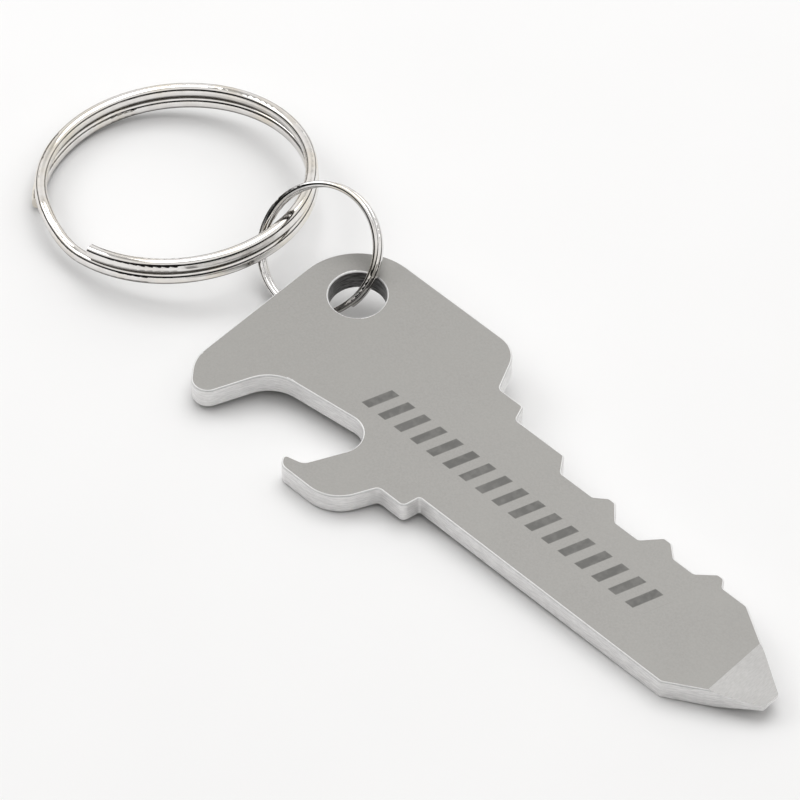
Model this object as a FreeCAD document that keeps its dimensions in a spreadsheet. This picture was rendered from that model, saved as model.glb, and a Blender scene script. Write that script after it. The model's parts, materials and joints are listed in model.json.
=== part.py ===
import FreeCAD, Part
import math
import os

import Sketcher
from FreeCAD import Placement, Rotation, Vector

# Key-shaped steel bottle opener with a small split ring through its head and a large split ring on
# that. Frame: the table top is z = 0, +X runs along the blade to the driver tip, +Y is the toothed
# side, and the origin is the middle of the footprint. Millimetres and degrees throughout.

SIZES = [
    # opener plate, in its own axes: x from the head's end, y from the blade's centre line
    ("plate_length", 59.2),
    ("plate_thickness", 2.2),
    ("edge_round", 0.2),
    ("head_half_width", 12.15),
    ("head_length", 19.4),
    ("blade_half_width", 5.35),
    ("blade_start", 24.5),
    ("taper_start", 51.8),
    ("tip_half_width", 0.9),
    ("tip_thickness", 0.5),
    ("grind_length", 4.1),
    ("mouth_roof", -2.6),
    ("hook_foot", -11.0),
    ("ring_hole_dia", 5.12),
    ("ring_hole_x", 5.25),
    ("ring_hole_y", 6.95),
    # how the plate lies: the small ring under its head rolls it about its length and noses it down
    ("plate_roll", 6.4),
    ("plate_pitch", 1.16),
    # small split ring, placed in the plate's axes
    ("small_outer_dia", 12.0),
    ("small_wire_width", 0.56),
    ("small_wire_height", 0.66),
    ("small_wire_round", 0.25),
    ("small_turn_gap", 0.04),
    ("small_crossover", 40.0),
    ("small_end_gap", 4.0),
    ("small_end_turn", -22.0),
    ("small_end_splay", 0.0),
    ("small_centre_x", -0.65),
    ("small_centre_y", 8.23),
    ("small_centre_z", 2.38),
    ("small_lean", 43.6),
    ("small_nod", 4.2),
    # large split ring, placed from the small ring's centre
    ("large_outer_dia", 25.3),
    ("large_wire_width", 1.1),
    ("large_wire_height", 1.25),
    ("large_wire_round", 0.5),
    ("large_turn_gap", 0.05),
    ("large_crossover", 35.0),
    ("large_end_gap", 6.0),
    ("large_end_turn", -130.0),
    ("large_end_splay", 0.35),
    ("large_back", 16.03),
    ("large_aside", 1.66),
    ("large_centre_z", 2.87),
    ("large_lean", 2.2),
    ("large_nod", -7.1),
]

doc = FreeCAD.newDocument("keychain_bottle_opener")
sheet = doc.addObject("Spreadsheet::Sheet", "sizes")
for row, (alias, value) in enumerate(SIZES, start=1):
    sheet.set(f"A{row}", alias)
    sheet.set(f"B{row}", str(value))
    sheet.setAlias(f"B{row}", alias)
doc.recompute()


def size(alias):
    return float(sheet.get(alias))


def origin_plane(body, role):
    return next(plane for plane in body.Origin.OriginFeatures if plane.Role == role)


def new_body(name):
    body = doc.addObject("PartDesign::Body", name)
    body.Label = name
    return body


def new_sketch(body, name, plane):
    sketch = body.newObject("Sketcher::SketchObject", name)
    sketch.AttachmentSupport = [(origin_plane(body, plane), "")]
    sketch.MapMode = "FlatFace"
    return sketch


def drive(sketch, constraint, alias):
    """Adds a constraint and ties its value to a cell of the sheet."""
    index = sketch.addConstraint(constraint)
    sketch.setExpression(f"Constraints[{index}]", f"sizes.{alias}")


def rounded_outline(corners):
    """Lines and tangent arcs round a closed outline of (x, y, corner radius) points."""
    spans = []
    for index, (x, y, radius) in enumerate(corners):
        here = Vector(x, y, 0)
        before = Vector(*corners[index - 1][:2], 0)
        after = Vector(*corners[(index + 1) % len(corners)][:2], 0)
        back = (before - here).normalize()
        ahead = (after - here).normalize()
        half_angle = back.getAngle(ahead) / 2
        reach = radius / math.tan(half_angle)
        bisector = (back + ahead).normalize()
        middle = here + bisector * (radius / math.sin(half_angle) - radius)
        spans.append((here + back * reach, middle, here + ahead * reach))
    curves = []
    for index, (start, middle, end) in enumerate(spans):
        following = spans[(index + 1) % len(spans)][0]
        curves.append(Part.Arc(start, middle, end))
        curves.append(Part.LineSegment(end, following))
    return curves


def plate_corners():
    """The stamped outline, counter-clockwise from the mouth's upper lip."""
    head = size("head_half_width")
    blade = size("blade_half_width")
    tip = size("tip_half_width")
    foot = size("hook_foot")
    roof = size("mouth_roof")
    lip = [(0, -7.9, 3.8), (2.9, -11.35, 1.45), (6.05, roof - 1.5, 3.8)]
    hook = [
        (18.35, roof, 2.05),
        (14.85, -9.45, 1.0),
        (12.95, -9.95, 0.35),
        (13.6, foot, 1.0),
        (19.3, foot, 3.8),
        (21.3, -7.0, 0.6),
    ]
    stop = [(24.15, -7.0, 0.6), (size("blade_start"), -blade, 0.3)]
    point = [
        (size("taper_start"), -blade, 0.8),
        (size("plate_length"), -tip, 0.2),
        (size("plate_length"), tip, 0.2),
        (size("taper_start"), blade, 0.6),
    ]
    teeth = [
        (49.15, blade, 0.3),
        (48.6, 6.13, 0.45),
        (47.9, 6.13, 0.45),
        (46.4, 4.8, 0.5),
        (44.2, 4.8, 0.4),
        (43.0, 5.85, 0.45),
        (42.15, 5.85, 0.3),
        (40.7, 4.22, 0.4),
        (38.15, 4.22, 0.4),
        (36.75, 5.72, 0.35),
        (36.0, 5.72, 0.5),
        (34.9, 4.87, 0.5),
        (31.3, 4.87, 0.4),
        (30.2, 6.42, 0.3),
        (24.65, 6.42, 0.4),
        (24.1, 7.9, 0.4),
        (21.3, 7.9, 0.5),
    ]
    shoulders = [(size("head_length"), head, 2.8), (0, head, 6.2)]
    return lip + hook + stop + point + teeth + shoulders


def through_pocket(body, sketch, name):
    """A pocket that cuts both ways through the body, and has to remove material."""
    doc.recompute()
    before = body.Shape.Volume
    pocket = body.newObject("PartDesign::Pocket", name)
    pocket.Profile = sketch
    pocket.Type = "ThroughAll"
    pocket.Midplane = True
    doc.recompute()
    if not body.Shape.Volume < before:
        raise RuntimeError(f"{name} removes nothing")


def cut_ring_hole(body):
    sketch = new_sketch(body, "ring_hole_outline", "XY_Plane")
    centre = Vector(size("ring_hole_x"), size("ring_hole_y"), 0)
    diameter = size("ring_hole_dia")
    circle = sketch.addGeometry(Part.Circle(centre, Vector(0, 0, 1), diameter / 2))
    drive(sketch, Sketcher.Constraint("Diameter", circle, diameter), "ring_hole_dia")
    drive(sketch, Sketcher.Constraint("DistanceX", -1, 1, circle, 3, centre.x), "ring_hole_x")
    drive(sketch, Sketcher.Constraint("DistanceY", -1, 1, circle, 3, centre.y), "ring_hole_y")
    through_pocket(body, sketch, "ring_hole")


def grind_tip(body, name, face_z, tip_z):
    """One ground face of the driver tip: a thin triangle cut across the blade."""
    overshoot = 1.0
    length = size("plate_length")
    grind = size("grind_length")
    slope = (tip_z - face_z) / grind
    heel = Vector(length - grind, face_z, 0)
    toe = Vector(length + overshoot, tip_z + slope * overshoot, 0)
    outside = Vector(length + overshoot, face_z, 0)
    sketch = new_sketch(body, f"{name}_profile", "XZ_Plane")
    for start, end in ((heel, toe), (toe, outside), (outside, heel)):
        sketch.addGeometry(Part.LineSegment(start, end))
    through_pocket(body, sketch, name)


def face_edges(shape, height):
    """Names of the edges that lie in the level z = height."""
    near = 1e-5
    names = []
    for index, edge in enumerate(shape.Edges, start=1):
        box = edge.BoundBox
        if abs(box.ZMin - height) < near and abs(box.ZMax - height) < near:
            names.append(f"Edge{index}")
    return names


def build_plate():
    body = new_body("opener_plate")
    outline = new_sketch(body, "blank_outline", "XY_Plane")
    for curve in rounded_outline(plate_corners()):
        outline.addGeometry(curve)
    blank = body.newObject("PartDesign::Pad", "blank")
    blank.Profile = outline
    blank.setExpression("Length", "sizes.plate_thickness")
    cut_ring_hole(body)

    pierced = body.Tip
    rounding = body.newObject("PartDesign::Fillet", "rolled_edges")
    rims = face_edges(pierced.Shape, 0) + face_edges(pierced.Shape, size("plate_thickness"))
    rounding.Base = (pierced, rims)
    rounding.setExpression("Radius", "sizes.edge_round")
    doc.recompute()

    middle = size("plate_thickness") / 2
    half_tip = size("tip_thickness") / 2
    grind_tip(body, "upper_grind", size("plate_thickness"), middle + half_tip)
    grind_tip(body, "lower_grind", 0, middle - half_tip)
    return body


def ring_path(name, radius, pitch, crossover, end_gap, splay, hand):
    """Two level turns about Z joined by one rising crossover, starting near the X axis.

    The first end stands out by splay. A hand of 1 winds up anticlockwise seen from above, -1 clockwise.
    """
    low = -pitch / 2
    turn = 360 - crossover - end_gap
    splayed = 40 if splay else 0

    def point(angle, height, reach=radius):
        turned = math.radians(hand * angle)
        return Vector(reach * math.cos(turned), reach * math.sin(turned), height)

    def tangent(angle):
        turned = math.radians(hand * angle)
        return Vector(-math.sin(turned), math.cos(turned), 0) * hand

    def arc(start, end, height):
        return Part.Arc(point(start, height), point((start + end) / 2, height), point(end, height))

    def eased(start, end, low_height, climb, stand_out):
        """A spline from start to end that climbs and comes in by smooth steps."""
        steps = 6
        points = []
        for step in range(steps + 1):
            share = step / steps
            smooth = share * share * (3 - 2 * share)
            reach = radius + stand_out * (1 - smooth)
            points.append(point(start + share * (end - start), low_height + climb * smooth, reach))
        curve = Part.BSplineCurve()
        curve.interpolate(Points=points, InitialTangent=tangent(start), FinalTangent=tangent(end))
        return curve

    pieces = [arc(splayed, turn, low), eased(turn, turn + crossover, low, pitch, 0)]
    pieces.append(arc(turn + crossover, 2 * turn + crossover, low + pitch))
    if splay:
        pieces.insert(0, eased(0, splayed, low, 0, splay))
    path = doc.addObject("Part::Feature", name)
    path.Shape = Part.Wire([piece.toShape() for piece in pieces])
    return path


def build_split_ring(name, prefix, hand):
    """A split ring about its own Z axis, centred on the origin, both turns in one strand of wire."""
    width = size(f"{prefix}_wire_width")
    height = size(f"{prefix}_wire_height")
    corner = size(f"{prefix}_wire_round")
    pitch = height + size(f"{prefix}_turn_gap")
    radius = (size(f"{prefix}_outer_dia") - width) / 2
    crossover = size(f"{prefix}_crossover")
    end_gap = size(f"{prefix}_end_gap")
    splay = size(f"{prefix}_end_splay")
    path = ring_path(f"{name}_path", radius, pitch, crossover, end_gap, splay, hand)
    body = new_body(name)
    section = new_sketch(body, f"{name}_section", "XZ_Plane")
    left = radius + splay - width / 2
    right = left + width
    bottom, top = -pitch / 2 - height / 2, -pitch / 2 + height / 2
    corners = [(left, bottom, corner), (right, bottom, corner), (right, top, corner), (left, top, corner)]
    for curve in rounded_outline(corners):
        section.addGeometry(curve)
    doc.recompute()
    wire = body.newObject("PartDesign::AdditivePipe", f"{name}_wire")
    wire.Profile = section
    wire.Spine = (path, [f"Edge{index}" for index in range(1, len(path.Shape.Edges) + 1)])
    wire.Mode = "Standard"
    doc.recompute()
    return body


X_AXIS, Y_AXIS, Z_AXIS = Vector(1, 0, 0), Vector(0, 1, 0), Vector(0, 0, 1)


def turned(axis, degrees):
    return Placement(Vector(), Rotation(axis, degrees))


def moved(x, y, z):
    return Placement(Vector(x, y, z), Rotation())


def exact_box(shape):
    return shape.optimalBoundingBox(False, False)


def lying_plate(body):
    """The plate's placement, with its lowest points, hook foot and tip, down on the table."""
    lean = turned(Y_AXIS, size("plate_pitch")) * turned(X_AXIS, size("plate_roll"))
    shape = body.Shape.copy()
    shape.Placement = lean
    return moved(0, 0, -exact_box(shape).ZMin) * lean


def ring_seat(prefix):
    """A ring's own tilt: turned so that its wire ends are in place, leaned and then nodded."""
    ends = turned(Z_AXIS, size(f"{prefix}_end_turn"))
    return turned(Y_AXIS, size(f"{prefix}_nod")) * turned(X_AXIS, size(f"{prefix}_lean")) * ends


def assemble(plate, small, large):
    """Places the three pieces as they lie, over the middle of their footprint."""
    plate_place = lying_plate(plate)
    small_centre = moved(size("small_centre_x"), size("small_centre_y"), size("small_centre_z"))
    small_place = plate_place * small_centre * ring_seat("small")
    large_centre = small_place.Base - Vector(size("large_back"), size("large_aside"), 0)
    large_centre.z = size("large_centre_z")
    large_place = moved(*large_centre) * ring_seat("large")
    plate.Placement = plate_place
    small.Placement = small_place
    large.Placement = large_place
    doc.recompute()
    box = exact_box(Part.makeCompound([body.Shape for body in (plate, small, large)]))
    centring = moved(-box.Center.x, -box.Center.y, -box.ZMin)
    for body in (plate, small, large):
        body.Placement = centring * body.Placement
    doc.recompute()


def check(bodies):
    """Stops before anything is written if a feature failed or a piece isn't one valid solid."""
    for thing in doc.Objects:
        if "Invalid" in thing.State or "Error" in thing.State:
            raise RuntimeError(f"{thing.Name} failed: {thing.State}")
    for body in bodies:
        if body.Shape.isNull() or not body.Shape.isValid() or len(body.Shape.Solids) != 1:
            raise RuntimeError(f"{body.Label} is not one valid solid")


plate = build_plate()
small_ring = build_split_ring("small_split_ring", "small", hand=1)
large_ring = build_split_ring("large_split_ring", "large", hand=-1)
pieces = (plate, small_ring, large_ring)
assemble(*pieces)
check(pieces)
os.makedirs("parts", exist_ok=True)
for piece in pieces:
    piece.Shape.exportStep(f"parts/{piece.Label}.step")
    print(piece.Label, f"{piece.Shape.Volume:.1f} mm3")
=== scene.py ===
"""Looks for the key-shaped bottle opener: a tumbled steel plate and two polished split rings.

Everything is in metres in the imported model's frame. The plate and both rings are the CAD bodies,
whose meshes are fine enough to show, and each gets a procedural finish laid out in its own
coordinates.
"""
import json
import math

import bpy
from mathutils import Matrix, Vector

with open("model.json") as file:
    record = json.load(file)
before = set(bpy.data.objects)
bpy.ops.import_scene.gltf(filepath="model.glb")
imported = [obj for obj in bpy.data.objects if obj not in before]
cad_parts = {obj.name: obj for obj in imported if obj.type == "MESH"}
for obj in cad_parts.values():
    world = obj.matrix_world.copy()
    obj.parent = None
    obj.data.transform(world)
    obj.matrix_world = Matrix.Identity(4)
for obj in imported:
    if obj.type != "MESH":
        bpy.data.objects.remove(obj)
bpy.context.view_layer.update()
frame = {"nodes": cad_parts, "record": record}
record = frame["record"]
MM = 0.001

# ---------------------------------------------------------------- places read from the frame
mounts = {mount["name"]: mount for mount in record["mounts"]}
tip = Vector(mounts["driver_tip"]["pos_m"])
blade_x = Vector(mounts["driver_tip"]["axis"]).normalized()
blade_y = -Vector(mounts["bottle_mouth"]["axis"]).normalized()
plate_up = blade_x.cross(blade_y).normalized()

# the ring hole's centre, measured from the driver tip, and a reach just past its wall
HOLE_BEHIND_TIP = 53.95 * MM
HOLE_ASIDE = 6.95 * MM
HOLE_REACH = 2.75 * MM


def collection_link(thing):
    bpy.context.scene.collection.objects.link(thing)
    return thing


# ---------------------------------------------------------------- shader helpers
class Shader:
    """A material's node tree with short calls to add and join nodes."""

    def __init__(self, name):
        self.material = bpy.data.materials.new(name)
        self.material.use_nodes = True
        self.tree = self.material.node_tree
        self.surface = self.tree.nodes["Principled BSDF"]

    def node(self, kind, **settings):
        made = self.tree.nodes.new(kind)
        for key, value in settings.items():
            setattr(made, key, value)
        return made

    def put(self, value, socket):
        """Sets a socket to a number, or joins another node's output to it."""
        if isinstance(value, bpy.types.NodeSocket):
            self.tree.links.new(value, socket)
        else:
            socket.default_value = value

    def maths(self, operation, first, second=0.0, clamp=False):
        made = self.node("ShaderNodeMath", operation=operation, use_clamp=clamp)
        self.put(first, made.inputs[0])
        self.put(second, made.inputs[1])
        return made.outputs[0]

    def ramp(self, value, low, high, to_low=0.0, to_high=1.0):
        """Maps low..high to to_low..to_high along a smooth step."""
        made = self.node("ShaderNodeMapRange", interpolation_type="SMOOTHSTEP")
        for socket, item in zip(made.inputs, (value, low, high, to_low, to_high)):
            self.put(item, socket)
        return made.outputs[0]

    def dot(self, vector, constant):
        made = self.node("ShaderNodeVectorMath", operation="DOT_PRODUCT")
        self.put(vector, made.inputs[0])
        made.inputs[1].default_value = constant
        return made.outputs["Value"]

    def minus(self, vector, constant):
        made = self.node("ShaderNodeVectorMath", operation="SUBTRACT")
        self.put(vector, made.inputs[0])
        made.inputs[1].default_value = constant
        return made.outputs[0]

    def combine(self, x, y, z):
        made = self.node("ShaderNodeCombineXYZ")
        for socket, item in zip(made.inputs, (x, y, z)):
            self.put(item, socket)
        return made.outputs[0]

    def noise(self, vector, scale, detail=3.0, roughness=0.5):
        made = self.node("ShaderNodeTexNoise")
        self.put(vector, made.inputs["Vector"])
        made.inputs["Scale"].default_value = scale
        made.inputs["Detail"].default_value = detail
        made.inputs["Roughness"].default_value = roughness
        return made.outputs["Fac"]

    def mix(self, share, first, second):
        """Blends two colours."""
        made = self.node("ShaderNodeMix", data_type="RGBA")
        self.put(share, made.inputs["Factor"])
        self.put(first, made.inputs["A"])
        self.put(second, made.inputs["B"])
        return made.outputs["Result"]

    def bump(self, height, distance, normal=None):
        made = self.node("ShaderNodeBump")
        made.inputs["Distance"].default_value = distance
        self.put(height, made.inputs["Height"])
        if normal is not None:
            self.put(normal, made.inputs["Normal"])
        return made.outputs[0]


def grey(level, warm=0.0):
    return (level * (1 + warm), level, level * (1 - warm), 1.0)


# ---------------------------------------------------------------- plate: tumbled, pressed steel
def bar_mark(shader, along, across):
    """A generic row of slanted bars where such a blade is usually printed: 1 on the bars."""
    first_bar, last_bar = -45.4 * MM, -12.6 * MM
    half_height = 1.35 * MM
    pitch = 1.9 * MM
    bar_share = 0.42
    slant = 0.35
    slid = shader.maths("ADD", along, shader.maths("MULTIPLY", across, -slant))
    from_first = shader.maths("SUBTRACT", slid, first_bar)
    place = shader.maths("FRACT", shader.maths("DIVIDE", from_first, pitch))
    bar = shader.ramp(shader.maths("ABSOLUTE", shader.maths("SUBTRACT", place, 0.5)),
                      bar_share / 2, bar_share / 2 + 0.05, 1.0, 0.0)
    inside = shader.ramp(shader.maths("ABSOLUTE", across),
                         half_height, half_height + 0.05 * MM, 1.0, 0.0)
    middle = (first_bar + last_bar) / 2
    half_length = (last_bar - first_bar) / 2
    reach = shader.maths("ABSOLUTE", shader.maths("SUBTRACT", slid, middle))
    within = shader.maths("LESS_THAN", reach, half_length)
    return shader.maths("MULTIPLY", bar, shader.maths("MULTIPLY", inside, within))


def plate_steel():
    shader = Shader("tumbled_steel")
    place = shader.node("ShaderNodeTexCoord")
    from_tip = shader.minus(place.outputs["Object"], tip)
    along = shader.dot(from_tip, blade_x)
    across = shader.dot(from_tip, blade_y)
    height = shader.dot(from_tip, plate_up)
    facing = shader.dot(place.outputs["Normal"], plate_up)
    tilt = shader.maths("ABSOLUTE", facing)
    side_wall = shader.ramp(tilt, 0.25, 0.6, 1.0, 0.0)
    # the driver tip's ground faces are the ones near the tip that lean a little off the flat
    ground = shader.maths("MULTIPLY", shader.ramp(tilt, 0.972, 0.99, 1.0, 0.0),
                          shader.ramp(tilt, 0.9, 0.96, 0.0, 1.0))
    ground = shader.maths("MULTIPLY", ground, shader.ramp(along, -4.6 * MM, -4.1 * MM, 0.0, 1.0))

    local = shader.combine(along, across, height)
    cloud = shader.noise(local, 260.0, 4.0, 0.55)
    grain = shader.noise(local, 5200.0, 3.0, 0.6)
    face_tone = shader.mix(shader.ramp(cloud, 0.35, 0.65),
                           (0.290, 0.284, 0.270, 1.0), (0.318, 0.311, 0.297, 1.0))
    face_tone = shader.mix(shader.ramp(grain, 0.3, 0.75, 0.0, 0.35),
                           face_tone, (0.244, 0.240, 0.228, 1.0))

    # the sheared wall carries fine lines along its length
    drawn_out = shader.combine(shader.maths("MULTIPLY", along, 0.12),
                               shader.maths("MULTIPLY", across, 0.12), height)
    shear = shader.noise(drawn_out, 9000.0, 4.0, 0.65)
    wall_tone = shader.mix(shader.ramp(shear, 0.3, 0.7), grey(0.74, 0.008), grey(0.97, 0.007))
    colour = shader.mix(side_wall, face_tone, wall_tone)
    # the punched hole's wall is painted dull and dark: painted shade for the shadow inside the
    # hole
    to_hole = shader.combine(shader.maths("ADD", along, HOLE_BEHIND_TIP),
                             shader.maths("SUBTRACT", across, HOLE_ASIDE), 0.0)
    hole_range = shader.node("ShaderNodeVectorMath", operation="LENGTH")
    shader.put(to_hole, hole_range.inputs[0])
    near_hole = shader.maths("LESS_THAN", hole_range.outputs["Value"], HOLE_REACH)
    in_hole = shader.maths("MULTIPLY", side_wall, near_hole)
    hole_painted_shade = shader.mix(shader.ramp(shear, 0.35, 0.65), grey(0.03, 0.01), grey(0.22, 0.01))
    colour = shader.mix(in_hole, colour, hole_painted_shade)
    # the rolled edges are painted bright, which stands in for their highlights
    painted_edge_highlight = shader.maths("MULTIPLY", shader.ramp(tilt, 0.3, 0.6),
                             shader.ramp(tilt, 0.93, 0.985, 1.0, 0.0))
    colour = shader.mix(painted_edge_highlight, colour, grey(0.92, 0.003))

    scratch = shader.noise(shader.combine(shader.maths("MULTIPLY", along, 6.0), across, 0.0),
                           1900.0, 3.0, 0.6)
    ground_tone = shader.mix(shader.ramp(scratch, 0.3, 0.7), grey(0.47, 0.012), grey(0.57, 0.01))
    colour = shader.mix(ground, colour, ground_tone)

    on_top = shader.ramp(facing, 0.992, 0.998)
    mark = shader.maths("MULTIPLY", bar_mark(shader, along, across), on_top)
    wear = shader.ramp(shader.noise(local, 1500.0, 2.0), 0.3, 0.62, 0.75, 1.0)
    mark_share = shader.maths("MULTIPLY", mark, wear)
    colour = shader.mix(mark_share, colour, (0.148, 0.146, 0.139, 1.0))

    roughness = shader.ramp(cloud, 0.3, 0.7, 0.42, 0.5)
    roughness = shader.maths("ADD", roughness, shader.maths("MULTIPLY", mark, 0.15))
    smoother = shader.maths("MULTIPLY", side_wall, 0.12)
    roughness = shader.maths("SUBTRACT", roughness, smoother, clamp=True)
    shader.put(colour, shader.surface.inputs["Base Color"])
    shader.put(roughness, shader.surface.inputs["Roughness"])
    shader.surface.inputs["Metallic"].default_value = 0.5
    relief = shader.bump(grain, 0.006 * MM)
    relief = shader.bump(shader.maths("MULTIPLY", shear, side_wall), 0.015 * MM, relief)
    relief = shader.bump(shader.maths("MULTIPLY", scratch, ground), 0.008 * MM, relief)
    shader.put(relief, shader.surface.inputs["Normal"])
    return shader.material


# ---------------------------------------------------------------- rings: polished nickel plate
def ring_nickel(name, warm):
    shader = Shader(name)
    place = shader.node("ShaderNodeTexCoord")
    haze = shader.noise(place.outputs["Object"], 900.0, 3.0, 0.5)
    patch = shader.noise(place.outputs["Object"], 240.0, 2.0, 0.5)
    tone = shader.mix(shader.ramp(haze, 0.35, 0.7), grey(0.84, warm), grey(0.76, warm * 1.6))
    tone = shader.mix(shader.ramp(patch, 0.45, 0.7, 0.0, 0.6), tone, (0.80, 0.73, 0.60, 1.0))
    # the groove and the undersides are painted dark, which stands in for dark reflections
    upward = shader.dot(place.outputs["Normal"], (0.0, 0.0, 1.0))
    underside = shader.ramp(upward, -0.42, 0.0, 0.9, 0.0)
    tone = shader.mix(underside, tone, (0.055, 0.048, 0.038, 1.0))
    shader.put(tone, shader.surface.inputs["Base Color"])
    shader.put(shader.ramp(haze, 0.3, 0.75, 0.06, 0.15), shader.surface.inputs["Roughness"])
    shader.surface.inputs["Metallic"].default_value = 1.0
    shader.put(shader.bump(haze, 0.006 * MM), shader.surface.inputs["Normal"])
    return shader.material


def dress(node, material):
    """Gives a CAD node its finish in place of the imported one."""
    piece = frame["nodes"][node]
    piece.data.materials.clear()
    piece.data.materials.append(material)


dress("opener_plate", plate_steel())
dress("small_split_ring", ring_nickel("small_ring_nickel", 0.012))
dress("large_split_ring", ring_nickel("large_ring_nickel", 0.02))


# ---------------------------------------------------------------- floor, light and camera
def floor_material():
    shader = Shader("pale_floor")
    place = shader.node("ShaderNodeTexCoord")
    soft = shader.noise(place.outputs["Object"], 40.0, 2.0)
    shader.put(shader.mix(soft, grey(0.90), grey(0.93)), shader.surface.inputs["Base Color"])
    shader.surface.inputs["Roughness"].default_value = 0.8
    shader.surface.inputs["Specular IOR Level"].default_value = 0.2
    return shader.material


def add_floor():
    half = 0.6
    mesh = bpy.data.meshes.new("floor")
    corners = [(-half, -half, 0), (half, -half, 0), (half, half, 0), (-half, half, 0)]
    mesh.from_pydata(corners, [], [(0, 1, 2, 3)])
    floor = collection_link(bpy.data.objects.new("floor", mesh))
    mesh.materials.append(floor_material())


def add_world():
    """A pale studio, dark low down and dimmer overhead, for polished metal to reflect."""
    world = bpy.data.worlds.new("studio")
    bpy.context.scene.world = world
    world.use_nodes = True
    tree = world.node_tree
    background = tree.nodes["Background"]
    place = tree.nodes.new("ShaderNodeTexCoord")
    height = tree.nodes.new("ShaderNodeVectorMath")
    height.operation = "DOT_PRODUCT"
    # the tilt brings the dark higher on the camera's side
    height.inputs[1].default_value = (-0.16, 0.2, 1.0)
    ramp = tree.nodes.new("ShaderNodeValToRGB")
    tree.links.new(place.outputs["Generated"], height.inputs[0])
    tree.links.new(height.outputs["Value"], ramp.inputs["Fac"])
    tree.links.new(ramp.outputs["Color"], background.inputs["Color"])
    stops = ((0.0, 0.01), (0.32, 0.01), (0.42, 0.62), (0.62, 1.0), (0.8, 0.85), (0.95, 0.35))
    points = ramp.color_ramp.elements
    while len(points) < len(stops):
        points.new(0.5)
    for point, (place_at, level) in zip(points, stops):
        point.position = place_at
        point.color = grey(level, 0.01)
    background.inputs["Strength"].default_value = 1.0


def add_lamp(name, direction, distance, width, power):
    """A square soft box that faces the origin, under the middle of the object."""
    light = bpy.data.lights.new(name, "AREA")
    light.size = width
    light.energy = power
    lamp = collection_link(bpy.data.objects.new(name, light))
    towards = Vector(direction).normalized()
    lamp.location = towards * distance
    lamp.rotation_euler = towards.to_track_quat("Z", "Y").to_euler()


def add_camera():
    azimuth, elevation, roll = math.radians(40.0), math.radians(45.96), math.radians(5.18)
    aim = Vector((0.7, -2.6, 3.0)) * MM
    distance = 0.428
    ahead = Vector((-math.sin(azimuth) * math.cos(elevation),
                    math.cos(azimuth) * math.cos(elevation),
                    -math.sin(elevation)))
    camera = bpy.data.cameras.new("camera")
    camera.sensor_width = 36.0
    camera.lens = 225.0
    camera.clip_start = 0.01
    eye = collection_link(bpy.data.objects.new("camera", camera))
    level = ahead.to_track_quat("-Z", "Y").to_matrix()
    turned = level @ Matrix.Rotation(roll, 3, "Z")
    eye.matrix_world = Matrix.Translation(aim - ahead * distance) @ turned.to_4x4()
    bpy.context.scene.camera = eye


add_floor()
add_world()
add_lamp("overhead", (-0.2, 0.3, 1.0), 0.6, 0.5, 1.7)
add_lamp("side", (-0.8, -0.3, 0.8), 0.6, 0.25, 0.45)
add_camera()
bpy.context.scene.view_settings.view_transform = "Standard"
